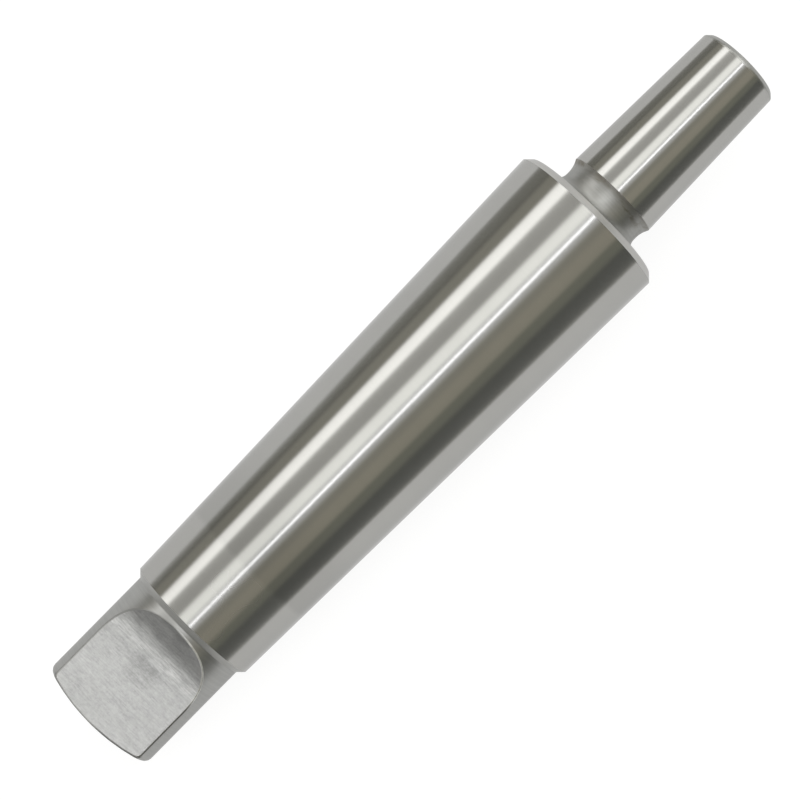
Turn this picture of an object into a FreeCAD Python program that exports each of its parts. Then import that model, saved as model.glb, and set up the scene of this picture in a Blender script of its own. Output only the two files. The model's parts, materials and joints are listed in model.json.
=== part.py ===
import FreeCAD, Part
import math
import os

# A drill chuck arbor, turned, milled and ground from one bar of tool steel.
# All sizes are in millimetres. The outline is drawn along X, with the shoulder face at X = 0, the short
# taper nose towards +X and the tang towards -X. The finished arbor is then laid on its side, on one line
# of its shank taper, with a tang flat upwards and the middle of its underside at the origin.

# Shank: self-holding taper, size 4
SHANK_RATIO = 19.254                # the diameter grows by 1 in this length
SHANK_GAUGE_DIAMETER = 31.267
SHANK_GAUGE_OFFSET = 6.5            # from the shoulder face back to the gauge plane
SHANK_LENGTH = 102.2                # from the shoulder face to the foot of the chamfer behind the taper
SHANK_FOOT_RADIUS = 0.3             # hollow corner between that chamfer and the round of the tang
SHOULDER_CHAMFER = 1.3
SHOULDER_EDGE_RADIUS = 0.5

# Tang
TANG_LENGTH = 24.4                  # from the foot of the chamfer to the tip of the domed end
TANG_DIAMETER = 24.0
TANG_THICKNESS = 11.9
TANG_DOME_RADIUS = 38.0
TANG_CORNER_RADIUS = 1.2
TANG_ROOT_RADIUS = 12.0             # the milling cutter that leaves the hollow root of each flat
TANG_ROOT_LAND = 0.9                # full round left between the milled root and the foot of the chamfer
TANG_EDGE_RADIUS = 0.35

# Neck: the relief turned between the shoulder and the nose
NECK_DIAMETER = 16.78
NECK_LENGTH = 5.5                   # from the shoulder face to the base edge of the nose
NECK_FILLET_RADIUS = 2.5            # hollow corner under the shoulder
NECK_FLOOR_LENGTH = 0.4             # straight floor of the relief, before it sweeps up to the nose

# Nose: short taper B18
NOSE_RATIO = 20.02
NOSE_GAUGE_DIAMETER = 17.78
NOSE_GAUGE_OFFSET = 8.4             # from the base edge of the nose to its gauge plane
NOSE_LENGTH = 32.6                  # from the base edge of the nose to its end face
NOSE_CHAMFER = 0.75
NOSE_EDGE_RADIUS = 0.3              # softened edges of the end chamfer

# Centre holes that the tapers are ground on
CENTRE_ANGLE = 60.0
CENTRE_MOUTH_DIAMETER = 6.7
CENTRE_BORE_DIAMETER = 3.15
CENTRE_BORE_LENGTH = 3.0
DRILL_POINT_ANGLE = 118.0

# A face counts as milled when it lies this close to where the cutter ran
MATCH = 0.01

# Places along X that the sizes above give
SHANK_FOOT_X = -SHANK_LENGTH
TANG_TIP_X = SHANK_FOOT_X - TANG_LENGTH
NOSE_BASE_X = NECK_LENGTH
NOSE_END_X = NOSE_BASE_X + NOSE_LENGTH

AXIS_START = FreeCAD.Vector(0, 0, 0)
AXIS_DIRECTION = FreeCAD.Vector(1, 0, 0)


def shank_radius(x):
    """Radius of the ground shank taper at x."""
    growth = (x + SHANK_GAUGE_OFFSET) / SHANK_RATIO
    return (SHANK_GAUGE_DIAMETER + growth) / 2


def nose_radius(x):
    """Radius of the ground nose taper at x."""
    loss = (x - NOSE_BASE_X - NOSE_GAUGE_OFFSET) / NOSE_RATIO
    return (NOSE_GAUGE_DIAMETER - loss) / 2


def at(x, radius):
    """Point of the outline, in the plane y = 0."""
    return FreeCAD.Vector(x, 0, radius)


def line(start, end):
    """Straight edge of the outline."""
    return Part.LineSegment(start, end).toShape()


def arc(start, centre, end):
    """The shorter arc from start to end about centre."""
    radius = (start - centre).Length
    chord_side = (start + end) * 0.5 - centre
    middle = centre + chord_side.normalize() * radius
    return Part.Arc(start, middle, end).toShape()


def rounded_line(corners):
    """Edges through a list of (point, radius), with each corner between the ends rounded by its radius."""
    edges = []
    start = corners[0][0]
    for number in range(1, len(corners) - 1):
        corner, radius = corners[number]
        back = (corners[number - 1][0] - corner).normalize()
        ahead = (corners[number + 1][0] - corner).normalize()
        half_angle = back.getAngle(ahead) / 2
        reach = radius / math.tan(half_angle)
        entry = corner + back * reach
        leave = corner + ahead * reach
        inward = (back + ahead).normalize()
        centre = corner + inward * (radius / math.sin(half_angle))
        edges.append(line(start, entry))
        edges.append(arc(entry, centre, leave))
        start = leave
    edges.append(line(start, corners[-1][0]))
    return edges


def centre_hole(mouth_x, inward):
    """Points of a centre hole, from its mouth down to its drilled point on the axis."""
    mouth = CENTRE_MOUTH_DIAMETER / 2
    bore = CENTRE_BORE_DIAMETER / 2
    cone_end_x = mouth_x + inward * (mouth - bore) / math.tan(math.radians(CENTRE_ANGLE / 2))
    bore_end_x = cone_end_x + inward * CENTRE_BORE_LENGTH
    point_x = bore_end_x + inward * bore / math.tan(math.radians(DRILL_POINT_ANGLE / 2))
    return [at(mouth_x, mouth), at(cone_end_x, bore), at(bore_end_x, bore), at(point_x, 0)]


def straight_edges(points):
    """Straight edges from point to point."""
    return [line(start, end) for start, end in zip(points, points[1:])]


def tang_end_outline():
    """Centre hole, dome and rounded corner of the tang's end, as far as the full round of the tang."""
    dome_centre_x = TANG_TIP_X + TANG_DOME_RADIUS
    dome_centre = at(dome_centre_x, 0)
    mouth = CENTRE_MOUTH_DIAMETER / 2
    mouth_x = dome_centre_x - math.sqrt(TANG_DOME_RADIUS ** 2 - mouth ** 2)
    corner_centre_radius = TANG_DIAMETER / 2 - TANG_CORNER_RADIUS
    inner_dome = TANG_DOME_RADIUS - TANG_CORNER_RADIUS
    corner_centre_x = dome_centre_x - math.sqrt(inner_dome ** 2 - corner_centre_radius ** 2)
    corner_centre = at(corner_centre_x, corner_centre_radius)
    outward = (corner_centre - dome_centre).normalize()
    dome_end = dome_centre + outward * TANG_DOME_RADIUS
    round_start = at(corner_centre_x, TANG_DIAMETER / 2)
    hole = centre_hole(mouth_x, 1)
    hole.reverse()
    edges = straight_edges(hole)
    edges.append(arc(hole[-1], dome_centre, dome_end))
    edges.append(arc(dome_end, corner_centre, round_start))
    return edges, round_start


def shank_outline(round_start):
    """Round of the tang, chamfer, ground taper, shoulder and the floor of the neck."""
    tang_radius = TANG_DIAMETER / 2
    slope = 1 / (2 * SHANK_RATIO)
    chamfer_length = abs(shank_radius(SHANK_FOOT_X) - tang_radius) / (1 - slope)
    taper_start_x = SHANK_FOOT_X + chamfer_length
    foot = at(SHANK_FOOT_X, tang_radius)
    taper_start = at(taper_start_x, shank_radius(taper_start_x))
    taper_end_radius = shank_radius(-SHOULDER_CHAMFER)
    taper_end = at(-SHOULDER_CHAMFER, taper_end_radius)
    rim = at(0, taper_end_radius - SHOULDER_CHAMFER)
    neck_corner = at(0, NECK_DIAMETER / 2)
    floor_end = at(NECK_FILLET_RADIUS + NECK_FLOOR_LENGTH, NECK_DIAMETER / 2)
    edges = rounded_line([(round_start, 0), (foot, SHANK_FOOT_RADIUS), (taper_start, 0)])
    edges.append(line(taper_start, taper_end))
    edges += rounded_line([
        (taper_end, 0),
        (rim, SHOULDER_EDGE_RADIUS),
        (neck_corner, NECK_FILLET_RADIUS),
        (floor_end, 0),
    ])
    return edges, floor_end


def nose_outline(floor_end):
    """Sweep up from the neck's floor, ground nose taper, end chamfer, end face and centre hole."""
    base = at(NOSE_BASE_X, nose_radius(NOSE_BASE_X))
    run = base.x - floor_end.x
    rise = base.z - floor_end.z
    sweep_radius = (run ** 2 + rise ** 2) / (2 * rise)
    sweep_centre = floor_end + FreeCAD.Vector(0, 0, sweep_radius)
    chamfer_x = NOSE_END_X - NOSE_CHAMFER
    chamfer_start = at(chamfer_x, nose_radius(chamfer_x))
    face_edge = at(NOSE_END_X, chamfer_start.z - NOSE_CHAMFER)
    hole = centre_hole(NOSE_END_X, -1)
    edges = [arc(floor_end, sweep_centre, base)]
    edges += rounded_line([
        (base, 0),
        (chamfer_start, NOSE_EDGE_RADIUS),
        (face_edge, NOSE_EDGE_RADIUS),
        (hole[0], 0),
    ])
    edges += straight_edges(hole)
    return edges


def turned_body():
    """The arbor as it leaves the lathe and the grinder, before the tang is milled."""
    edges, round_start = tang_end_outline()
    shank_edges, floor_end = shank_outline(round_start)
    edges += shank_edges
    edges += nose_outline(floor_end)
    first = edges[0].Vertexes[0].Point
    last = edges[-1].Vertexes[-1].Point
    edges.append(line(last, first))
    face = Part.Face(Part.Wire(edges))
    return face.revolve(AXIS_START, AXIS_DIRECTION, 360)


def flat_cutter():
    """Path of the milling cutter over the upper flat, with its rounded run-out at the root."""
    half_thickness = TANG_THICKNESS / 2
    depth = TANG_DIAMETER / 2 - half_thickness
    root_apex_x = SHANK_FOOT_X - TANG_ROOT_LAND
    root_length = math.sqrt(TANG_ROOT_RADIUS ** 2 - (TANG_ROOT_RADIUS - depth) ** 2)
    root_start = at(root_apex_x - root_length, half_thickness)
    cutter_centre = root_start + FreeCAD.Vector(0, 0, TANG_ROOT_RADIUS)
    root_end = cutter_centre + FreeCAD.Vector(TANG_ROOT_RADIUS, 0, 0)
    clear_x = TANG_TIP_X - TANG_DIAMETER
    side_start = at(clear_x, half_thickness)
    top_start = at(clear_x, root_end.z)
    edges = [
        line(side_start, root_start),
        arc(root_start, cutter_centre, root_end),
        line(root_end, top_start),
        line(top_start, side_start),
    ]
    face = Part.Face(Part.Wire(edges))
    face.translate(FreeCAD.Vector(0, -TANG_DIAMETER, 0))
    return face.extrude(FreeCAD.Vector(0, 2 * TANG_DIAMETER, 0))


def mill_flats(body):
    """The body with both tang flats cut, and the edges of the flats softened."""
    upper = flat_cutter()
    lower = flat_cutter()
    lower.rotate(AXIS_START, AXIS_DIRECTION, 180)
    milled = body.cut(upper.fuse(lower))
    return milled.makeFillet(TANG_EDGE_RADIUS, flat_edges(milled))


def flat_edges(milled):
    """Outer edges of both milled surfaces, each a flat and its hollow root."""
    half_thickness = TANG_THICKNESS / 2
    found = []
    for face in milled.Faces:
        surface = face.Surface
        height = abs(face.CenterOfMass.z)
        is_flat = isinstance(surface, Part.Plane) and abs(height - half_thickness) < MATCH
        is_root = isinstance(surface, Part.Cylinder) and abs(surface.Axis.y) > 1 - MATCH
        if is_flat or is_root:
            found += face.Edges
    shared = [edge for edge in found if sum(edge.isSame(other) for other in found) > 1]
    return [edge for edge in found if not any(edge.isSame(other) for other in shared)]


def lay_down(arbor):
    """Rests the arbor on one line of its shank taper, with the middle of its underside at the origin."""
    half_angle = math.atan(1 / (2 * SHANK_RATIO))
    arbor.rotate(AXIS_START, FreeCAD.Vector(0, 1, 0), -math.degrees(half_angle))
    box = arbor.optimalBoundingBox(False)
    middle_x = (box.XMin + box.XMax) / 2
    arbor.translate(FreeCAD.Vector(-middle_x, 0, shank_radius(0) * math.cos(half_angle)))
    return arbor


def main():
    os.makedirs("parts", exist_ok=True)
    arbor = lay_down(mill_flats(turned_body()))
    arbor.exportStep("parts/chuck_arbor.step")


main()
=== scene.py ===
import json
import math
from collections import namedtuple
from functools import partial

import bmesh
import bpy
from bpy.props import FloatProperty, FloatVectorProperty, PointerProperty
from mathutils import Matrix, Vector


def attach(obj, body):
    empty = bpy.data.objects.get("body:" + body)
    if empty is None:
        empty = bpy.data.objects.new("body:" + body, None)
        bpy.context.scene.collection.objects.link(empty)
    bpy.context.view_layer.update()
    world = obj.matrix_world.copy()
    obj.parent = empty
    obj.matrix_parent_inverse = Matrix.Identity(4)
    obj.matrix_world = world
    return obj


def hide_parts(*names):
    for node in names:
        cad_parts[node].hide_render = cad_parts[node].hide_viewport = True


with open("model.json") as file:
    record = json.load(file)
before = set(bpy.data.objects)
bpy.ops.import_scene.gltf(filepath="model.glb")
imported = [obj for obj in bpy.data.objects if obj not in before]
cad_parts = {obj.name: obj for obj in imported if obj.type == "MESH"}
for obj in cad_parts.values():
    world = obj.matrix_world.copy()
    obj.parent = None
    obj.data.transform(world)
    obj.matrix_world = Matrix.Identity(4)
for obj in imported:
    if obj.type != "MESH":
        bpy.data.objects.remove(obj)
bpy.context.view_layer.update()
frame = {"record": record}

bl_info = {
    "name": "Drill Chuck Arbor",
    "version": (1, 0, 0),
    "blender": (4, 5, 0),
    "location": "View3D > Sidebar > Arbor",
    "description": "Builds a drill chuck arbor with a ground shank, a milled tang and a short taper nose",
    "category": "Add Mesh",
}

MM = 0.001
SHANK_GAUGE_OFFSET = 6.5  # from the shoulder face back to the gauge plane, in mm
AXIS = Vector((1, 0, 0))
ACROSS = Vector((0, 1, 0))
ORIGIN = Vector((0, 0, 0))

# Finishes, in the order of the arbor's material slots.
TURNED, CHAMFERED, GROUND, SHOULDER, NECK, MILLED, RIM, BORED = range(8)

# Mesh lines round the arbor: from the middle of a tang flat to its edge, and on to the side.
FLAT_STEPS = 30
SIDE_STEPS = 15
# Mesh lines along the hollow root of each flat, a rounded corner, and across the softened edge of a flat.
ROOT_STEPS = 20
EDGE_STEPS = 6
RIM_STEPS = 4
WELD = 0.5e-6  # points this close are one, in metres
CLEARED = 0.87  # mesh points this near a milled edge, in its radii, make room for its round
SHARP_ANGLE = math.radians(28)

# Places along the arbor, in metres from the shoulder face, where a finish changes.
GROUND_AGAIN = (-0.0875, -0.0861)
DULLED_END = -0.0660
# Where the painted light on the milling marks of the hollow root rises and where it fades.
PAINTED_LIGHT_RISES = (-0.1118, -0.1098)
PAINTED_LIGHT_FADES = (-0.1088, -0.1056)
RUBBED_MIDDLE = (-0.1128, 0.0, 0.0)
# Where the painted highlight and the painted shade on the edges of the flats begin and end.
HOLLOW_ROOT = (-0.1130, -0.1095)
STRAIGHT_RIM = (-0.1135, -0.1110)
TIP_RIM = (-0.1262, -0.1244)
NOSE_BASE = (0.0041, 0.0053)
SMUDGED_NECK = (0.0015, 0.0046)

Strip = namedtuple("Strip", "start end soft brightness tint")

# Light and shade over the arbor, in strips that run along it. An angle is measured in degrees from straight
# up, and grows towards the arbor's front side, -Y.
STRIPS = (
    Strip(-180, -79, 16, 0.28, (1, 0.985, 0.86)),      # dim wall behind the arbor
    Strip(-79, -61.3, 9, 0.46, (1, 0.97, 0.84)),       # the same wall beside the window
    Strip(-61.3, -44.0, 5, 2.6, (1, 0.995, 0.985)),    # long window
    Strip(-44.0, -18.0, 5, 0.75, (1, 0.99, 0.95)),     # pale ceiling
    Strip(-18.0, -0.8, 6, 2.12, (1, 1.005, 0.98)),     # diffuser overhead
    Strip(-0.8, 3.4, 2.6, 0.95, (1, 1, 1)),            # gap between the diffuser and the tube
    Strip(3.4, 6.3, 1.2, 4.6, (1, 1.005, 1.05)),       # bare tube
    Strip(6.3, 14.2, 8, 0.94, (1, 1, 0.99)),           # glow beside the tube
    Strip(14.2, 27, 8, 0.475, (1, 0.965, 0.83)),       # warm part of the room
    Strip(27, 46, 8, 0.56, (1, 0.945, 0.79)),          # its warmest part
    Strip(46, 62, 10, 0.32, (1, 1.01, 0.84)),          # dark front of the room
    Strip(62, 180, 12, 0.185, (0.98, 1, 0.93)),        # darkest part, low down
)
# How the light falls off towards the tang, against the X of its direction: middle, width, low and high.
DARK_END = (-0.84, 0.45, 0.2, 1)
DIMMER_SIDE = (0, 2, 0.79, 1.21)

# Where the paper ends as the steel mirrors it, in metres: behind the arbor along Y, along a slanted line there,
# and in front of it along Y.
FAR_FLOOR_BEHIND = (0.095, 0.125)
FAR_FLOOR_SLANT = (0.140, 0.190)
FAR_FLOOR_SLOPE = 2.5
FAR_FLOOR_IN_FRONT = (-0.30, -0.42)
FAR_FLOOR_GLOW = (0.27, 0.265, 0.23, 1)
FLOOR_REACH = 3
PAPER = (0.17, 0.17, 0.17, 1)
PAPER_GLOW = 0.88


def length(name, description, millimetres):
    """A length that a user can change."""
    return FloatProperty(
        name=name, description=description, default=millimetres * MM, min=0, precision=5, unit="LENGTH"
    )


class ArborSizes(bpy.types.PropertyGroup):
    """Driving sizes of the arbor, drawn along X with the shoulder face at X = 0 and the nose towards +X."""

    shank_ratio: FloatProperty(
        name="Shank taper", description="Length in which the shank's diameter grows by 1", default=19.254
    )
    shank_gauge_diameter: length("Shank gauge diameter", "Diameter of the shank at its gauge plane", 31.267)
    shank_gauge_offset: length(
        "Shank gauge offset", "From the shoulder face back to the gauge plane", SHANK_GAUGE_OFFSET
    )
    shank_length: length("Shank length", "From the shoulder face to the foot of the rear chamfer", 102.2)
    foot_radius: length("Foot radius", "Hollow corner between the rear chamfer and the tang", 0.3)
    shoulder_chamfer: length("Shoulder chamfer", "Chamfer at the large end of the shank", 1.3)
    shoulder_edge: length("Shoulder edge", "Rounding between that chamfer and the shoulder face", 0.5)
    tang_length: length("Tang length", "From the foot of the rear chamfer to the tip of the tang", 24.4)
    tang_diameter: length("Tang diameter", "Diameter of the round that the tang is milled from", 24.0)
    tang_thickness: length("Tang thickness", "Distance between the two milled flats", 11.9)
    tang_dome_radius: length("Tang dome radius", "Radius of the domed end face", 38.0)
    tang_corner_radius: length("Tang corner radius", "Rounding between the dome and the side of the tang", 1.2)
    tang_root_radius: length("Root radius", "Radius of the cutter that leaves the hollow roots", 12.0)
    tang_root_land: length("Root land", "Full round left between a milled root and the rear chamfer", 0.9)
    tang_edge_radius: length("Tang edge radius", "Softened edges of the milled flats", 0.4)
    neck_diameter: length("Neck diameter", "Diameter of the relief behind the nose", 16.78)
    neck_length: length("Neck length", "From the shoulder face to the base edge of the nose", 5.5)
    neck_fillet: length("Neck fillet", "Hollow corner under the shoulder", 2.5)
    neck_floor: length("Neck floor", "Straight part of the relief before it sweeps up to the nose", 0.4)
    nose_ratio: FloatProperty(
        name="Nose taper", description="Length in which the nose's diameter falls by 1", default=20.02
    )
    nose_gauge_diameter: length("Nose gauge diameter", "Diameter of the nose at its gauge plane", 17.78)
    nose_gauge_offset: length("Nose gauge offset", "From the base edge of the nose to its gauge plane", 8.4)
    nose_length: length("Nose length", "From the base edge of the nose to its end face", 32.6)
    nose_chamfer: length("Nose chamfer", "Chamfer at the end of the nose", 0.75)
    nose_edge: length("Nose edge", "Softened edges of that chamfer", 0.3)
    centre_mouth: length("Centre mouth", "Diameter of the countersink of a centre hole", 6.7)
    centre_bore: length("Centre bore", "Diameter of the pilot hole of a centre hole", 3.15)
    centre_bore_length: length("Centre bore length", "Depth of the pilot hole below its countersink", 3.0)

    def shank_radius(self, x):
        """Radius of the ground shank at x."""
        return (self.shank_gauge_diameter + (x + self.shank_gauge_offset) / self.shank_ratio) / 2

    def nose_radius(self, x):
        """Radius of the ground nose at x."""
        return (self.nose_gauge_diameter - (x - self.neck_length - self.nose_gauge_offset) / self.nose_ratio) / 2

    def foot_x(self):
        """Place of the foot of the rear chamfer."""
        return -self.shank_length

    def tip_x(self):
        """Place of the tip of the tang."""
        return -self.shank_length - self.tang_length

    def end_x(self):
        """Place of the nose's end face."""
        return self.neck_length + self.nose_length


def steel_colour(name, description, colour):
    """A colour of the steel that a user can change."""
    return FloatVectorProperty(
        name=name, description=description, default=colour, min=0, max=1, size=3, subtype="COLOR"
    )


class ArborColours(bpy.types.PropertyGroup):
    """Colours of the arbor's finishes."""

    ground: steel_colour("Ground", "Ground tapers", (0.368, 0.366, 0.350))
    turned: steel_colour("Turned", "Round of the tang, end faces and centre holes", (0.345, 0.345, 0.335))
    chamfered: steel_colour("Chamfered", "Chamfers at both ends", (0.335, 0.335, 0.32))
    shoulder: steel_colour("Shoulder", "Chamfer round the shoulder", (0.45, 0.445, 0.43))
    neck: steel_colour("Neck", "Relief behind the nose", (0.32, 0.32, 0.307))
    stain: steel_colour("Stain", "Oil stain behind the nose", (0.17, 0.155, 0.125))
    # rim is the colour of a painted highlight on the front edges over the hollow root; rim_shade is the painted
    # shade of the softened edges.
    rim: steel_colour("Rim", "Worn, shiny part of the edges of the milled flats", (0.82, 0.82, 0.80))
    rim_shade: steel_colour("Rim shade", "Dull part of those edges", (0.28, 0.28, 0.272))
    milled: steel_colour("Milled", "Milled flats of the tang", (0.350, 0.350, 0.345))


def arbor_placement():
    """Matrix from the drawing's own axes to the row frame, from where the record puts the shank taper."""
    mount = next(m for m in frame["record"]["mounts"] if m["name"] == "shank_taper")
    along = -Vector(mount["axis"]).normalized()
    up = along.cross(ACROSS)
    shoulder = Vector(mount["pos_m"]) + along * SHANK_GAUGE_OFFSET * MM
    turn = Matrix((along, ACROSS, up)).transposed().to_4x4()
    return Matrix.Translation(shoulder) @ turn


def at(x, radius):
    """Point of the outline, in the plane y = 0."""
    return Vector((x, 0, radius))


class Outline:
    """A stretch of the turned outline, drawn from point to point and then swept round the axis."""

    def __init__(self, mesh, start):
        self.mesh = mesh
        self.tip = mesh.verts.new(start)

    def line_to(self, point, parts=1):
        """Straight stretch, with mesh lines that divide it evenly."""
        start = self.tip.co.copy()
        for number in range(1, parts + 1):
            made = bmesh.ops.extrude_vert_indiv(self.mesh, verts=[self.tip])
            self.tip = made["verts"][0]
            self.tip.co = start.lerp(point, number / parts)

    def arc_to(self, point, centre, steps=EDGE_STEPS):
        """Arc about a centre."""
        start = self.tip.co - centre
        angle = start.angle(point - centre)
        if start.cross(point - centre).y < 0:
            angle = -angle
        made = bmesh.ops.spin(
            self.mesh, geom=[self.tip], cent=centre, axis=ACROSS, angle=angle, steps=steps
        )
        self.tip = made["geom_last"][0]
        self.tip.co = point

    def round_corner(self, corner, after, radius, steps=EDGE_STEPS):
        """Straight stretch towards a corner, and the arc that rounds it towards the next point."""
        back = (self.tip.co - corner).normalized()
        ahead = (after - corner).normalized()
        half_angle = back.angle(ahead) / 2
        reach = radius / math.tan(half_angle)
        centre = corner + (back + ahead).normalized() * (radius / math.sin(half_angle))
        self.line_to(corner + back * reach)
        self.arc_to(corner + ahead * reach, centre, steps)

    def turn(self, sizes, finish):
        """Sweeps the outline a quarter turn, with a mesh line along the edge of the tang flat."""
        old_faces = set(self.mesh.faces)
        edges = [edge for edge in self.mesh.edges if edge.is_wire]
        geometry = list(dict.fromkeys(vert for edge in edges for vert in edge.verts)) + edges
        flat_angle = math.acos(sizes.tang_thickness / sizes.tang_diameter)
        for angle, steps in ((flat_angle, FLAT_STEPS), (math.pi / 2 - flat_angle, SIDE_STEPS)):
            made = bmesh.ops.spin(
                self.mesh, geom=geometry, cent=ORIGIN, axis=AXIS, angle=angle, steps=steps
            )
            geometry = made["geom_last"]
        for face in self.mesh.faces:
            if face not in old_faces:
                face.material_index = finish


def draw_centre_hole(mesh, sizes, mouth_x, inward):
    """Countersunk centre hole, from its mouth down to its drilled point."""
    mouth = sizes.centre_mouth / 2
    bore = sizes.centre_bore / 2
    cone_end = mouth_x + inward * (mouth - bore) / math.tan(math.radians(30))
    bore_end = cone_end + inward * sizes.centre_bore_length
    point = bore_end + inward * bore / math.tan(math.radians(59))
    hole = Outline(mesh, at(mouth_x, mouth))
    hole.line_to(at(cone_end, bore))
    hole.line_to(at(bore_end, bore))
    hole.line_to(at(point, 0))
    hole.turn(sizes, BORED)


def draw_tang(mesh, sizes):
    """Centre hole, dome, rounded corner and full round of the tang."""
    tang_radius = sizes.tang_diameter / 2
    dome = sizes.tang_dome_radius
    centre = at(sizes.tip_x() + dome, 0)
    mouth = sizes.centre_mouth / 2
    mouth_x = centre.x - math.sqrt(dome**2 - mouth**2)
    corner_height = tang_radius - sizes.tang_corner_radius
    inner_dome = dome - sizes.tang_corner_radius
    corner = at(centre.x - math.sqrt(inner_dome**2 - corner_height**2), corner_height)
    dome_end = centre + (corner - centre).normalized() * dome
    draw_centre_hole(mesh, sizes, mouth_x, 1)
    end = Outline(mesh, at(mouth_x, mouth))
    end.arc_to(dome_end, centre, 4)
    end.arc_to(at(corner.x, tang_radius), corner, 3)
    foot = at(sizes.foot_x(), tang_radius)
    taper_start = shank_start(sizes)
    end.round_corner(foot, taper_start, sizes.foot_radius, 4)
    end.turn(sizes, TURNED)
    chamfer = Outline(mesh, end.tip.co)
    chamfer.line_to(taper_start, 3)
    chamfer.turn(sizes, CHAMFERED)


def shank_start(sizes):
    """Small end of the ground shank, at the top of the rear chamfer."""
    rise = sizes.shank_radius(sizes.foot_x()) - sizes.tang_diameter / 2
    x = sizes.foot_x() + abs(rise) / (1 - 1 / (2 * sizes.shank_ratio))
    return at(x, sizes.shank_radius(x))


def draw_shank(mesh, sizes):
    """Ground shank, its front chamfer and the shoulder face."""
    chamfer = sizes.shoulder_chamfer
    edge = at(-chamfer, sizes.shank_radius(-chamfer))
    rim = at(0, edge.z - chamfer)
    neck_corner = at(0, sizes.neck_diameter / 2)
    face_end = at(0, neck_corner.z + sizes.neck_fillet)
    taper = Outline(mesh, shank_start(sizes))
    taper.line_to(edge, 10)
    taper.turn(sizes, GROUND)
    shoulder = Outline(mesh, edge)
    shoulder.round_corner(rim, neck_corner, sizes.shoulder_edge)
    shoulder.turn(sizes, SHOULDER)
    face = Outline(mesh, shoulder.tip.co)
    face.line_to(face_end, 3)
    face.turn(sizes, TURNED)


def draw_neck(mesh, sizes):
    """Relief between the shoulder and the nose: a hollow corner, a short floor and a sweep up to the nose."""
    floor = sizes.neck_diameter / 2
    fillet = sizes.neck_fillet
    floor_end = at(fillet + sizes.neck_floor, floor)
    base = at(sizes.neck_length, sizes.nose_radius(sizes.neck_length))
    run = base.x - floor_end.x
    rise = base.z - floor_end.z
    sweep = (run**2 + rise**2) / (2 * rise)
    neck = Outline(mesh, at(0, floor + fillet))
    neck.arc_to(at(fillet, floor), at(fillet, floor + fillet), 10)
    neck.line_to(floor_end)
    neck.arc_to(base, floor_end + at(0, sweep), 8)
    neck.turn(sizes, NECK)


def draw_nose(mesh, sizes):
    """Ground nose taper, its end chamfer, end face and centre hole."""
    end_x = sizes.end_x()
    base = at(sizes.neck_length, sizes.nose_radius(sizes.neck_length))
    chamfer_x = end_x - sizes.nose_chamfer
    corner = at(chamfer_x, sizes.nose_radius(chamfer_x))
    face_edge = at(end_x, corner.z - sizes.nose_chamfer)
    mouth = at(end_x, sizes.centre_mouth / 2)
    nose = Outline(mesh, base)
    nose.line_to(corner + (base - corner).normalized() * sizes.nose_edge, 5)
    nose.turn(sizes, GROUND)
    end = Outline(mesh, nose.tip.co)
    end.round_corner(corner, face_edge, sizes.nose_edge, 4)
    end.round_corner(face_edge, mouth, sizes.nose_edge, 4)
    end.turn(sizes, CHAMFERED)
    face = Outline(mesh, end.tip.co)
    face.line_to(mouth, 3)
    face.turn(sizes, TURNED)
    draw_centre_hole(mesh, sizes, end_x, -1)


def turned_body(sizes):
    """The arbor as it leaves the lathe and the grinder, before the tang is milled."""
    mesh = bmesh.new()
    draw_tang(mesh, sizes)
    draw_shank(mesh, sizes)
    draw_neck(mesh, sizes)
    draw_nose(mesh, sizes)
    bmesh.ops.remove_doubles(mesh, verts=mesh.verts, dist=WELD)
    for side in "YZ":
        bmesh.ops.mirror(
            mesh, geom=mesh.verts[:] + mesh.edges[:] + mesh.faces[:], axis=side, merge_dist=WELD
        )
    bmesh.ops.recalc_face_normals(mesh, faces=mesh.faces)
    return mesh


def root_start(sizes):
    """Line on which a tang flat begins to rise in its hollow root."""
    half = sizes.tang_thickness / 2
    rise = sizes.tang_diameter / 2 - half
    run = math.sqrt(sizes.tang_root_radius**2 - (sizes.tang_root_radius - rise) ** 2)
    return at(sizes.foot_x() - sizes.tang_root_land - run, half)


def clear_of_cutter(point, sizes):
    """Distance between a point and the path of the milling cutter."""
    start = root_start(sizes)
    if point.x < start.x:
        return start.z - abs(point.z)
    radius = sizes.tang_root_radius
    return math.hypot(point.x - start.x, abs(point.z) - start.z - radius) - radius


def flat_cutters(sizes):
    """Paths of the milling cutter over both tang flats, each with its rounded run-out at the root."""
    mesh = bmesh.new()
    radius = sizes.tang_root_radius
    start = root_start(sizes)
    centre = start + at(0, radius)
    clear_x = sizes.tip_x() - sizes.tang_diameter
    path = Outline(mesh, at(clear_x, start.z))
    first = path.tip
    path.line_to(start)
    path.arc_to(centre + at(radius, 0), centre, ROOT_STEPS)
    path.line_to(at(clear_x, centre.z))
    bmesh.ops.contextual_create(mesh, geom=[first, path.tip])
    side = bmesh.ops.edgeloop_fill(mesh, edges=mesh.edges)["faces"]
    bmesh.ops.translate(mesh, verts=mesh.verts, vec=-sizes.tang_diameter * ACROSS)
    made = bmesh.ops.extrude_face_region(mesh, geom=side, use_keep_orig=True)
    far_side = [item for item in made["geom"] if isinstance(item, bmesh.types.BMVert)]
    bmesh.ops.translate(mesh, verts=far_side, vec=2 * sizes.tang_diameter * ACROSS)
    bmesh.ops.mirror(mesh, geom=mesh.verts[:] + mesh.edges[:] + mesh.faces[:], axis="Z", merge_dist=WELD)
    bmesh.ops.recalc_face_normals(mesh, faces=mesh.faces)
    for face in mesh.faces:
        face.material_index = MILLED
    return mesh


def scene_object(name, mesh, finishes):
    """Object in the scene that shows a bmesh, with a list of materials."""
    data = bpy.data.meshes.new(name)
    for finish in finishes:
        data.materials.append(finish)
    mesh.to_mesh(data)
    mesh.free()
    thing = bpy.data.objects.new(name, data)
    bpy.context.scene.collection.objects.link(thing)
    return thing


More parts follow.
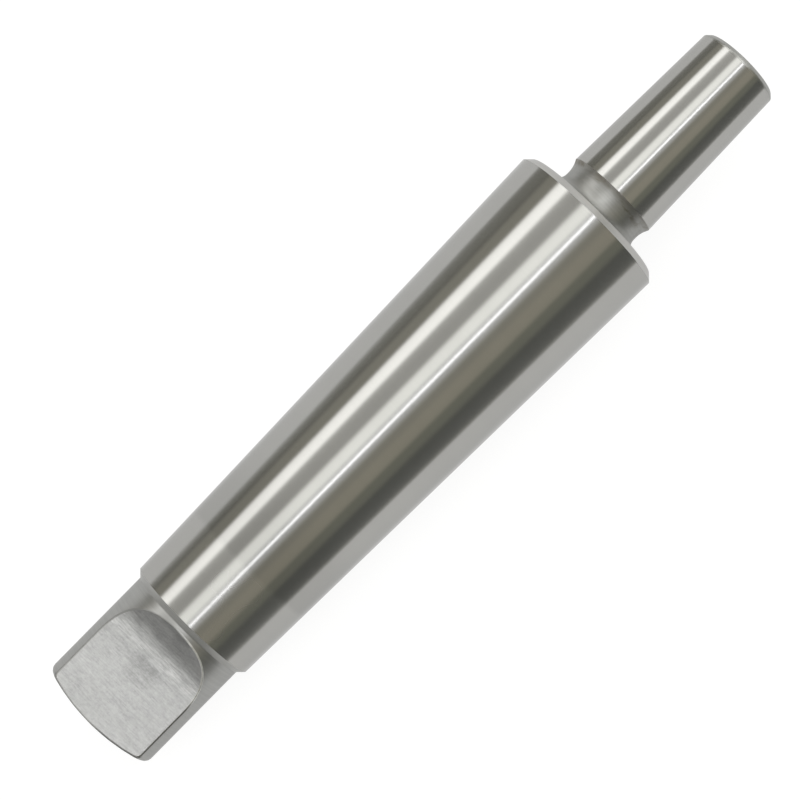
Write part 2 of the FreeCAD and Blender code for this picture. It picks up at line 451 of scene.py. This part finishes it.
def mill(body, cutters):
    """Mesh of the body with the cutters' paths taken out of it."""
    cut = body.modifiers.new("Milled flats", "BOOLEAN")
    cut.operation = "DIFFERENCE"
    cut.solver = "EXACT"
    cut.object = cutters
    milled = body.evaluated_get(bpy.context.evaluated_depsgraph_get())
    mesh = bmesh.new()
    mesh.from_mesh(milled.to_mesh())
    for thing in (body, cutters):
        data = thing.data
        bpy.data.objects.remove(thing)
        bpy.data.meshes.remove(data)
    return mesh


def mean_normal(vert, milled):
    """Direction in which the milled faces round a point look, or the turned ones."""
    faces = [face for face in vert.link_faces if (face.material_index == MILLED) == milled]
    return sum((face.normal * face.calc_area() for face in faces), Vector()).normalized()


def rim_verts(edges):
    """Points of a rim, each one once."""
    return {vert for edge in edges for vert in edge.verts}


def soften_flats(mesh, sizes):
    """Rounds the edges of the milled flats: parts flats and body, draws them back and joins them by a round."""
    bmesh.ops.remove_doubles(mesh, verts=mesh.verts, dist=20 * WELD)
    bmesh.ops.dissolve_degenerate(mesh, edges=mesh.edges, dist=2 * WELD)
    mesh.normal_update()
    rim = [
        edge
        for edge in mesh.edges
        if sum(face.material_index == MILLED for face in edge.link_faces) == 1
    ]
    layers = mesh.verts.layers.float_vector
    crest, outer, inner = (layers.new(name) for name in ("crest", "outer", "inner"))
    for vert in rim_verts(rim):
        vert[crest] = vert.co
        vert[outer] = mean_normal(vert, False)
        vert[inner] = mean_normal(vert, True)
    radius = sizes.tang_edge_radius
    near = [
        vert
        for vert in mesh.verts
        if abs(clear_of_cutter(vert.co, sizes)) < CLEARED * radius
        and not any(face.material_index == MILLED for face in vert.link_faces)
    ]
    bmesh.ops.dissolve_verts(mesh, verts=near)

    def lay(edges, share):
        for vert in rim_verts(edges):
            middle = (vert[outer] + vert[inner]).normalized()
            centre = vert[crest] - middle * (radius / middle.dot(vert[outer]))
            vert.co = centre + radius * vert[outer].slerp(vert[inner], share)

    bmesh.ops.split_edges(mesh, edges=[edge for edge in rim if edge.is_valid])
    edges = [edge for edge in mesh.edges if edge.is_boundary]
    flats = [edge for edge in edges if edge.link_faces[0].material_index == MILLED]
    rim = [edge for edge in edges if edge.link_faces[0].material_index != MILLED]
    lay(flats, 1)
    lay(rim, 0)
    for step in range(1, RIM_STEPS + 1):
        made = bmesh.ops.extrude_edge_only(mesh, edges=rim)["geom"]
        rim = [item for item in made if isinstance(item, bmesh.types.BMEdge) and item.is_boundary]
        for face in made:
            if isinstance(face, bmesh.types.BMFace):
                face.material_index = RIM
        lay(rim, step / RIM_STEPS)
    bmesh.ops.remove_doubles(mesh, verts=list(rim_verts(rim + flats)), dist=WELD)
    for name in (crest, outer, inner):
        layers.remove(name)


def add_node(tree, kind, inputs, **settings):
    """A node with its settings, and with each input given a value or a link."""
    made = tree.nodes.new(kind)
    for name, value in settings.items():
        setattr(made, name, value)
    for name, value in inputs.items():
        if isinstance(value, bpy.types.NodeSocket):
            tree.links.new(value, made.inputs[name])
        else:
            made.inputs[name].default_value = value
    return made


class SteelFinish:
    """A finish of the steel: a material whose nodes read the arbor's own axes."""

    def __init__(self, name, roughness, anisotropy):
        self.material = bpy.data.materials.new(name)
        self.material.use_nodes = True
        self.tree = self.material.node_tree
        self.shader = self.tree.nodes["Principled BSDF"]
        self.shader.inputs["Metallic"].default_value = 1
        self.shader.inputs["Roughness"].default_value = roughness
        self.shader.inputs["Anisotropic"].default_value = anisotropy
        self.shader.inputs["Specular Tint"].default_value = (0.78, 0.78, 0.78, 1)
        self.object_place = self.node("ShaderNodeTexCoord", {}).outputs["Object"]
        placement = arbor_placement()
        into_arbor = self.node(
            "ShaderNodeMapping",
            {"Vector": self.object_place, "Location": placement.translation, "Rotation": placement.to_euler()},
            vector_type="TEXTURE",
        )
        self.place = into_arbor.outputs["Vector"]
        apart = self.node("ShaderNodeSeparateXYZ", {"Vector": self.place})
        self.along = apart.outputs["X"]
        self.across = apart.outputs["Y"]

    def node(self, kind, inputs, **settings):
        """A node of this finish."""
        return add_node(self.tree, kind, inputs, **settings)

    def vector_math(self, operation, first, second):
        """Result of a vector operation."""
        return self.node("ShaderNodeVectorMath", {0: first, 1: second}, operation=operation).outputs["Vector"]

    def maths(self, operation, first, second):
        """Result of an operation on two numbers."""
        return self.node("ShaderNodeMath", {0: first, 1: second}, operation=operation).outputs["Value"]

    def grain(self, scale, detail=3.0, rough=0.6, distortion=0.0):
        """Noise that is stretched or packed along the arbor's axes, about 0.5 on average."""
        packed = self.vector_math("MULTIPLY", self.place, scale)
        return self.node(
            "ShaderNodeTexNoise",
            {"Vector": packed, "Scale": 1.0, "Detail": detail, "Roughness": rough, "Distortion": distortion},
        ).outputs["Fac"]

    def rings(self, per_metre, wander):
        """Fine lines right round the arbor, each a little out of true, about 0.5 on average."""
        drift = self.maths("MULTIPLY", self.grain((70, 70, 70), detail=1), wander)
        count = self.maths("MULTIPLY", self.along, per_metre)
        return self.node(
            "ShaderNodeTexNoise",
            {"W": self.maths("ADD", count, drift), "Scale": 1.0, "Detail": 2.0, "Roughness": 0.6},
            noise_dimensions="1D",
        ).outputs["Fac"]

    def step(self, value, start, end, low=0.0, high=1.0):
        """Soft step of a value, from low at its start to high at its end."""
        return self.node(
            "ShaderNodeMapRange",
            {"Value": value, "From Min": start, "From Max": end, "To Min": low, "To Max": high},
            interpolation_type="SMOOTHSTEP",
        ).outputs["Result"]

    def mottled(self, marks, low, high, clouds):
        """Tone of a surface with tool marks, lighter and darker in patches."""
        return self.maths("ADD", self.step(marks, 0.25, 0.75, low, high), self.step(clouds, 0.3, 0.7, -0.25, 0.25))

    def blend(self, share, first, second):
        """Colour between two colours."""
        mixed = self.node("ShaderNodeMix", {0: share, 6: first, 7: second}, data_type="RGBA")
        return mixed.outputs[2]

    def colour(self, colour):
        """Gives the steel its colour."""
        self.tree.links.new(colour, self.shader.inputs["Base Color"])

    def roughness(self, roughness):
        """Gives the steel its roughness."""
        self.tree.links.new(roughness, self.shader.inputs["Roughness"])

    def height(self, height, depth):
        """Gives the steel its fine relief."""
        bump = self.node("ShaderNodeBump", {"Height": height, "Distance": depth, "Strength": 1.0})
        self.tree.links.new(bump.outputs["Normal"], self.shader.inputs["Normal"])

    def lay_round(self):
        """Marks of the tool run round the arbor, so highlights spread along its outline."""
        placement = arbor_placement()
        arm = self.vector_math("SUBTRACT", self.object_place, placement.translation)
        round_about = self.vector_math("CROSS_PRODUCT", placement.to_3x3() @ AXIS, arm)
        self.spread(round_about)

    def lay_across(self):
        """Marks of the tool run across the arbor, so highlights spread along it."""
        self.spread(ACROSS)

    def spread(self, marks):
        """Spreads highlights at right angles to the marks."""
        normal = self.node("ShaderNodeNewGeometry", {}).outputs["Normal"]
        spread = self.vector_math("CROSS_PRODUCT", marks, normal)
        self.tree.links.new(spread, self.shader.inputs["Tangent"])


def ground_steel(colours):
    """Ground tapers: fine lines round the arbor, and a stretch at the small end that was ground once more."""
    steel = SteelFinish("ground_steel", 0.26, 1.0)
    steel.lay_round()
    lines = steel.rings(7400, 5)
    bands = steel.grain((160, 9, 9), detail=2)
    clouds = steel.grain((60, 90, 90), detail=2)
    tone = steel.step(lines, 0.25, 0.75, 0.2, 0.8)
    for patches in (steel.step(bands, 0.3, 0.7, -0.1, 0.1), steel.step(clouds, 0.3, 0.7, -0.08, 0.08)):
        tone = steel.maths("ADD", tone, patches)
    dark, light = shades(colours.ground, 0.05)
    dulled = steel.maths(
        "MULTIPLY",
        steel.step(steel.along, *GROUND_AGAIN, 0, 0.5),
        steel.step(steel.along, GROUND_AGAIN[1], DULLED_END, 1, 0),
    )
    darker_tone = (*(Vector(colours.ground) * 0.78), 1)
    steel.colour(steel.blend(dulled, steel.blend(tone, dark, light), darker_tone))
    ground_again = steel.step(steel.along, *GROUND_AGAIN, 0.016, -0.012)
    worn_in = steel.step(steel.along, GROUND_AGAIN[1], DULLED_END, 0, 0.012)
    roughness = steel.maths("ADD", steel.step(clouds, 0.3, 0.7, 0.250, 0.258), ground_again)
    steel.roughness(steel.maths("ADD", roughness, worn_in))
    steel.height(clouds, 3e-6)
    return steel.material


def turned_steel(colours):
    """Turned surfaces: the round of the tang and the end faces, with fine tool marks."""
    steel = SteelFinish("turned_steel", 0.45, 0.5)
    steel.lay_round()
    marks = steel.grain((3800, 60, 60), detail=4)
    clouds = steel.grain((150, 220, 220), detail=4)
    tone = steel.mottled(marks, 0.2, 0.8, clouds)
    dark, light = shades(colours.turned, 0.1)
    steel.colour(steel.blend(tone, dark, light))
    steel.roughness(steel.step(clouds, 0.3, 0.7, 0.42, 0.5))
    steel.height(marks, 4e-6)
    return steel.material


def chamfered_steel(colours):
    """Chamfers and softened edges: satin, with the shine of handling on the edges."""
    steel = SteelFinish("chamfered_steel", 0.36, 0.4)
    steel.lay_round()
    marks = steel.grain((4200, 80, 80), detail=4)
    clouds = steel.grain((260, 260, 260), detail=4)
    tone = steel.mottled(marks, 0.3, 0.7, clouds)
    dark, light = shades(colours.chamfered, 0.1)
    steel.colour(steel.blend(tone, dark, light))
    steel.roughness(steel.step(clouds, 0.3, 0.7, 0.32, 0.4))
    steel.height(marks, 3e-6)
    return steel.material


def shoulder_steel(colours):
    """Chamfer round the shoulder, polished by handling."""
    steel = SteelFinish("shoulder_steel", 0.34, 0.4)
    steel.lay_round()
    marks = steel.grain((4200, 80, 80), detail=4)
    clouds = steel.grain((200, 260, 260), detail=4)
    tone = steel.mottled(marks, 0.3, 0.7, clouds)
    dark, light = shades(colours.shoulder, 0.08)
    steel.colour(steel.blend(tone, dark, light))
    steel.roughness(steel.step(clouds, 0.3, 0.7, 0.30, 0.38))
    steel.height(marks, 3e-6)
    return steel.material


def neck_steel(colours):
    """Turned relief behind the nose, stained along the base of the nose, where no grinding wheel reached."""
    steel = SteelFinish("neck_steel", 0.45, 0.3)
    steel.lay_round()
    marks = steel.grain((3000, 90, 90), detail=4)
    clouds = steel.grain((420, 230, 230), detail=5, distortion=0.6)
    line = steel.step(steel.along, *NOSE_BASE)
    base_line = steel.maths("MULTIPLY", line, steel.step(steel.across, -0.005, 0.005, 0.35, 1))
    near_base = steel.step(steel.along, *SMUDGED_NECK)
    smudge = steel.maths("MULTIPLY", near_base, steel.step(clouds, 0.47, 0.72, 0, 0.8))
    patchy = steel.maths("MULTIPLY", base_line, steel.step(clouds, 0.3, 0.62, 0.25, 1))
    stained = steel.maths("MAXIMUM", smudge, patchy)
    dark, light = shades(colours.neck, 0.1)
    clean = steel.blend(steel.step(marks, 0.25, 0.75, 0.25, 0.75), dark, light)
    steel.colour(steel.blend(stained, clean, (*colours.stain, 1)))
    steel.roughness(steel.step(clouds, 0.3, 0.7, 0.4, 0.52))
    steel.height(clouds, 6e-6)
    return steel.material


def milled_steel(colours):
    """Milled flats: short mottled marks across the tang, and a run of them in the hollow root made lighter as
    painted light.
    """
    steel = SteelFinish("milled_steel", 0.4, 0.55)
    steel.lay_across()
    lines = steel.grain((3400, 380, 3400), detail=5, distortion=0.5)
    bands = steel.grain((700, 60, 700), detail=3, distortion=0.6)
    clouds = steel.grain((520, 420, 520), detail=5)
    speckle = steel.grain((2600, 2200, 2600), detail=3)
    # painted light: the milling marks in the hollow root are lightened, standing in for the brighter shading there
    painted_light_share = steel.maths(
        "MULTIPLY", steel.step(steel.along, *PAINTED_LIGHT_RISES), steel.step(steel.along, *PAINTED_LIGHT_FADES, 1, 0)
    )
    painted_light_marks = steel.maths("MULTIPLY", painted_light_share, steel.step(lines, 0.35, 0.7, 0.9, 3.0))
    tone = steel.step(lines, 0.25, 0.75, -0.1, 1.1)
    for patches in (
        steel.step(bands, 0.3, 0.7, -0.25, 0.25),
        steel.step(clouds, 0.3, 0.7, -0.45, 0.45),
        steel.step(speckle, 0.3, 0.7, -0.4, 0.4),
        painted_light_marks,
        smudged(steel, RUBBED_MIDDLE, clouds),
    ):
        tone = steel.maths("ADD", tone, patches)
    dark, light = shades(colours.milled, 0.09)
    blended = steel.node("ShaderNodeMix", {0: tone, 6: dark, 7: light}, data_type="RGBA", clamp_factor=False)
    steel.colour(blended.outputs[2])
    steel.roughness(steel.step(clouds, 0.3, 0.7, 0.37, 0.45))
    steel.height(steel.maths("ADD", lines, steel.maths("ADD", bands, speckle)), 5e-6)
    return steel.material


def smudged(steel, middle, clouds):
    """Darker patch in the middle of a flat, where the cutter rubbed."""
    from_middle = steel.node(
        "ShaderNodeVectorMath",
        {0: steel.vector_math("MULTIPLY", steel.place, (1, 1, 0)), 1: middle},
        operation="DISTANCE",
    ).outputs["Value"]
    return steel.maths(
        "MULTIPLY", steel.step(from_middle, 0.0012, 0.0045, -1.5, 0), steel.step(clouds, 0.3, 0.6)
    )


def rim_steel_with_painted_light(colours):
    """Softened edges of the flats, coloured with painted light: a painted shade along the tang, darkest on the
    front straight edge and lighter near the tip, and a painted highlight on the front side where they curve over
    the hollow root.
    """
    steel = SteelFinish("rim_steel_with_painted_light", 0.38, 0.0)
    wear_and_painted_light_grain = steel.grain((600, 600, 600), detail=4)
    hollow = steel.step(steel.along, *HOLLOW_ROOT)
    front = steel.step(steel.across, -0.0035, 0.0015, 1, 0)
    # painted highlight: the bright rim colour on the front side, where the edge curves over the hollow root
    painted_highlight = steel.maths("MULTIPLY", steel.maths("MULTIPLY", hollow, front), steel.step(wear_and_painted_light_grain, 0.25, 0.6, 0.5, 1))
    # painted shade: the front straight edge is darkened further, in patches
    straight = steel.step(steel.along, *STRAIGHT_RIM, 1, 0)
    shade_breakup = steel.step(wear_and_painted_light_grain, 0.25, 0.6, 0.6, 1)
    painted_shade = steel.maths("MULTIPLY", steel.maths("MULTIPLY", straight, front), shade_breakup)
    # painted shade of the softened edges, made lighter near the tip
    tip = steel.step(steel.along, *TIP_RIM, 1, 0)
    darker_tone = steel.blend(tip, (*colours.rim_shade, 1), (*(Vector(colours.rim_shade) * 1.4), 1))
    darker = steel.blend(painted_shade, darker_tone, (*(Vector(colours.rim_shade) * 0.75), 1))
    steel.colour(steel.blend(painted_highlight, darker, (*colours.rim, 1)))
    steel.roughness(steel.step(wear_and_painted_light_grain, 0.3, 0.7, 0.32, 0.44))
    steel.height(wear_and_painted_light_grain, 6e-6)
    return steel.material


def bored_steel(colours):
    """Centre holes: drilled and countersunk, with a little dirt in the pilot hole."""
    steel = SteelFinish("bored_steel", 0.4, 0.4)
    steel.lay_round()
    marks = steel.grain((4000, 60, 60), detail=4)
    clouds = steel.grain((500, 500, 500), detail=4)
    dark, light = shades(colours.turned, 0.15)
    clean = steel.blend(steel.step(marks, 0.25, 0.75), dark, light)
    steel.colour(steel.blend(steel.step(clouds, 0.45, 0.8, 0, 0.6), clean, (*colours.stain, 1)))
    steel.roughness(steel.step(clouds, 0.3, 0.7, 0.35, 0.5))
    steel.height(marks, 4e-6)
    return steel.material


def shades(colour, spread):
    """A darker and a lighter shade of a colour."""
    return [(*(Vector(colour) * factor), 1) for factor in (1 - spread, 1 + spread)]


class ARBOR_OT_chuck_arbor(bpy.types.Operator):
    """Builds the drill chuck arbor, turned, milled and ground"""

    bl_idname = "arbor.chuck_arbor"
    bl_label = "Chuck Arbor"

    def execute(self, context):
        sizes = context.scene.arbor_sizes
        colours = context.scene.arbor_colours
        finishes = [
            finish(colours)
            for finish in (
                turned_steel,
                chamfered_steel,
                ground_steel,
                shoulder_steel,
                neck_steel,
                milled_steel,
                rim_steel_with_painted_light,
                bored_steel,
            )
        ]
        body = scene_object("turned_body", turned_body(sizes), finishes)
        cutters = scene_object("flat_cutters", flat_cutters(sizes), finishes)
        mesh = mill(body, cutters)
        soften_flats(mesh, sizes)
        bmesh.ops.transform(mesh, matrix=arbor_placement(), verts=mesh.verts)
        for face in mesh.faces:
            face.smooth = True
        arbor = scene_object("ground_arbor", mesh, finishes)
        arbor.data.set_sharp_from_angle(angle=SHARP_ANGLE)
        shading = arbor.modifiers.new("Even shading", "WEIGHTED_NORMAL")
        shading.keep_sharp = True
        shading.mode = "FACE_AREA"
        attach(arbor, "root")
        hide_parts("chuck_arbor")
        return {"FINISHED"}


class ArborStage(bpy.types.PropertyGroup):
    """Camera, lights and floor."""

    camera_distance: length("Camera distance", "From the camera to the point it looks at", 445.85)
    camera_view: FloatProperty(
        name="Field of view", description="Angle of the whole picture", default=math.radians(18.2),
        subtype="ANGLE",
    )
    camera_tilt: FloatProperty(
        name="Tilt", description="How far the camera leans back towards the tang", default=math.radians(2.3),
        subtype="ANGLE",
    )
    camera_roll: FloatProperty(
        name="Side tilt", description="How far the camera leans to the arbor's side", default=math.radians(1.7),
        subtype="ANGLE",
    )
    camera_turn: FloatProperty(
        name="Slant", description="Angle of the arbor in the picture, above the horizontal",
        default=math.radians(45.405), subtype="ANGLE",
    )
    aim_along: length("Aim along", "Point of the axis that the camera looks at, behind the shoulder face", 47.28)
    aim_aside: length("Aim aside", "How far the camera looks past the axis", 1.257)


class ARBOR_OT_stage(bpy.types.Operator):
    """Sets up the pale floor, the studio light and the camera"""

    bl_idname = "arbor.stage"
    bl_label = "Stage"

    def execute(self, context):
        stage = context.scene.arbor_stage
        add_floor()
        add_light(context)
        add_camera(context, stage)
        return {"FINISHED"}


def add_floor():
    """Pale floor under the arbor."""
    mesh = bmesh.new()
    bmesh.ops.create_grid(mesh, x_segments=1, y_segments=1, size=FLOOR_REACH)
    floor = scene_object("floor", mesh, [floor_material()])


def floor_material():
    """White paper, lit from all round."""
    material = bpy.data.materials.new("floor_paper")
    material.use_nodes = True
    shader = material.node_tree.nodes["Principled BSDF"]
    shader.inputs["Base Color"].default_value = PAPER
    shader.inputs["Roughness"].default_value = 1
    shader.inputs["Specular IOR Level"].default_value = 0
    shader.inputs["Emission Color"].default_value = (1, 1, 1, 1)
    shader.inputs["Emission Strength"].default_value = PAPER_GLOW
    add_far_floor(material.node_tree, shader)
    return material


def add_far_floor(tree, paper):
    """The dim far floor that the steel mirrors beyond the paper, though the paper runs on in the picture."""
    node = partial(add_node, tree)
    place = node("ShaderNodeTexCoord", {}).outputs["Object"]
    apart = node("ShaderNodeSeparateXYZ", {"Vector": place})
    slant = node(
        "ShaderNodeMath",
        {0: apart.outputs["X"], 1: FAR_FLOOR_SLOPE, 2: apart.outputs["Y"]},
        operation="MULTIPLY_ADD",
    )

    def beyond(value, edge):
        made = node(
            "ShaderNodeMapRange", {"Value": value, "From Min": edge[0], "From Max": edge[1]},
            interpolation_type="SMOOTHSTEP",
        )
        return made.outputs["Result"]

    behind = node(
        "ShaderNodeMath",
        {0: beyond(apart.outputs["Y"], FAR_FLOOR_BEHIND), 1: beyond(slant.outputs[0], FAR_FLOOR_SLANT)},
        operation="MULTIPLY",
    )
    in_front = beyond(apart.outputs["Y"], FAR_FLOOR_IN_FRONT)
    both = node("ShaderNodeMath", {0: behind.outputs[0], 1: in_front}, operation="ADD")
    mirrored = node("ShaderNodeLightPath", {}).outputs["Is Glossy Ray"]
    share = node("ShaderNodeMath", {0: both.outputs[0], 1: mirrored}, operation="MULTIPLY").outputs[0]
    dim = node("ShaderNodeEmission", {"Color": FAR_FLOOR_GLOW})
    mix = node("ShaderNodeMixShader", {0: share, 1: paper.outputs["BSDF"], 2: dim.outputs["Emission"]})
    tree.links.new(mix.outputs["Shader"], tree.nodes["Material Output"].inputs["Surface"])


def add_light(context):
    """Studio light: long strips over the arbor, side by side and in line with it."""
    world = bpy.data.worlds.new("studio")
    context.scene.world = world
    context.scene.view_settings.view_transform = "Standard"
    world.use_nodes = True
    tree = world.node_tree
    node = partial(add_node, tree)

    def step(value, middle, width, low, high):
        ends = {"From Min": middle - width / 2, "From Max": middle + width / 2, "To Min": low, "To Max": high}
        made = node("ShaderNodeMapRange", {"Value": value, **ends}, interpolation_type="SMOOTHSTEP")
        return made.outputs["Result"]

    direction = node("ShaderNodeTexCoord", {}).outputs["Generated"]
    apart = node("ShaderNodeSeparateXYZ", {"Vector": direction})
    aside = node("ShaderNodeMath", {0: apart.outputs["Y"], 1: -1.0}, operation="MULTIPLY")
    angle = node("ShaderNodeMath", {0: aside.outputs[0], 1: apart.outputs["Z"]}, operation="ARCTAN2")
    angle = node("ShaderNodeMath", {0: angle.outputs[0]}, operation="DEGREES").outputs[0]
    total = (0, 0, 0)
    for strip in STRIPS:
        rise = step(angle, strip.start, strip.soft, 0, 1)
        fall = step(angle, strip.end, strip.soft, 1, 0)
        share = node("ShaderNodeMath", {0: rise, 1: fall}, operation="MULTIPLY").outputs[0]
        glow = node(
            "ShaderNodeVectorMath",
            {"Vector": Vector(strip.tint) * strip.brightness, "Scale": share}, operation="SCALE",
        )
        total = node("ShaderNodeVectorMath", {0: total, 1: glow.outputs[0]}, operation="ADD").outputs[0]
    for falloff in (step(apart.outputs["X"], *DARK_END), step(apart.outputs["X"], *DIMMER_SIDE)):
        total = node("ShaderNodeVectorMath", {"Vector": total, "Scale": falloff}, operation="SCALE").outputs[0]
    seen = node("ShaderNodeLightPath", {}).outputs["Is Camera Ray"]
    mixed = node("ShaderNodeMix", {0: seen, 6: total, 7: (1, 1, 1, 1)}, data_type="RGBA").outputs[2]
    tree.links.new(mixed, tree.nodes["Background"].inputs["Color"])


def add_camera(context, stage):
    """Camera at the viewing angle of the photograph."""
    place = arbor_placement()
    along = place.to_3x3() @ AXIS
    aim = place @ Vector((-stage.aim_along, stage.aim_aside, 0))
    back = Vector((-math.sin(stage.camera_tilt), -math.sin(stage.camera_roll), 1)).normalized()
    level = (along - back * along.dot(back)).normalized()
    rise = back.cross(level)
    turn = stage.camera_turn
    right = math.cos(turn) * level - math.sin(turn) * rise
    up = math.sin(turn) * level + math.cos(turn) * rise
    data = bpy.data.cameras.new("camera")
    data.sensor_fit = "HORIZONTAL"
    data.angle = stage.camera_view
    camera = bpy.data.objects.new("camera", data)
    camera.matrix_world = Matrix.Translation(aim + back * stage.camera_distance) @ Matrix(
        (right, up, back)
    ).transposed().to_4x4()
    context.scene.collection.objects.link(camera)
    context.scene.camera = camera


class ARBOR_PT_sidebar(bpy.types.Panel):
    """Lists the arbor's operators and sizes"""

    bl_idname = "ARBOR_PT_sidebar"
    bl_label = "Drill Chuck Arbor"
    bl_space_type = "VIEW_3D"
    bl_region_type = "UI"
    bl_category = "Arbor"

    def draw(self, context):
        layout = self.layout
        layout.operator(ARBOR_OT_chuck_arbor.bl_idname)
        layout.operator(ARBOR_OT_stage.bl_idname)
        for group in (context.scene.arbor_sizes, context.scene.arbor_colours, context.scene.arbor_stage):
            box = layout.box()
            for name in group.__annotations__:
                box.prop(group, name)


CLASSES = (ArborSizes, ArborColours, ArborStage, ARBOR_OT_chuck_arbor, ARBOR_OT_stage, ARBOR_PT_sidebar)


def register():
    for item in CLASSES:
        bpy.utils.register_class(item)
    bpy.types.Scene.arbor_sizes = PointerProperty(type=ArborSizes)
    bpy.types.Scene.arbor_colours = PointerProperty(type=ArborColours)
    bpy.types.Scene.arbor_stage = PointerProperty(type=ArborStage)


def unregister():
    del bpy.types.Scene.arbor_stage
    del bpy.types.Scene.arbor_colours
    del bpy.types.Scene.arbor_sizes
    for item in reversed(CLASSES):
        bpy.utils.unregister_class(item)


def main():
    register()
    bpy.ops.arbor.chuck_arbor()
    bpy.ops.arbor.stage()


if __name__ == "__main__":
    main()
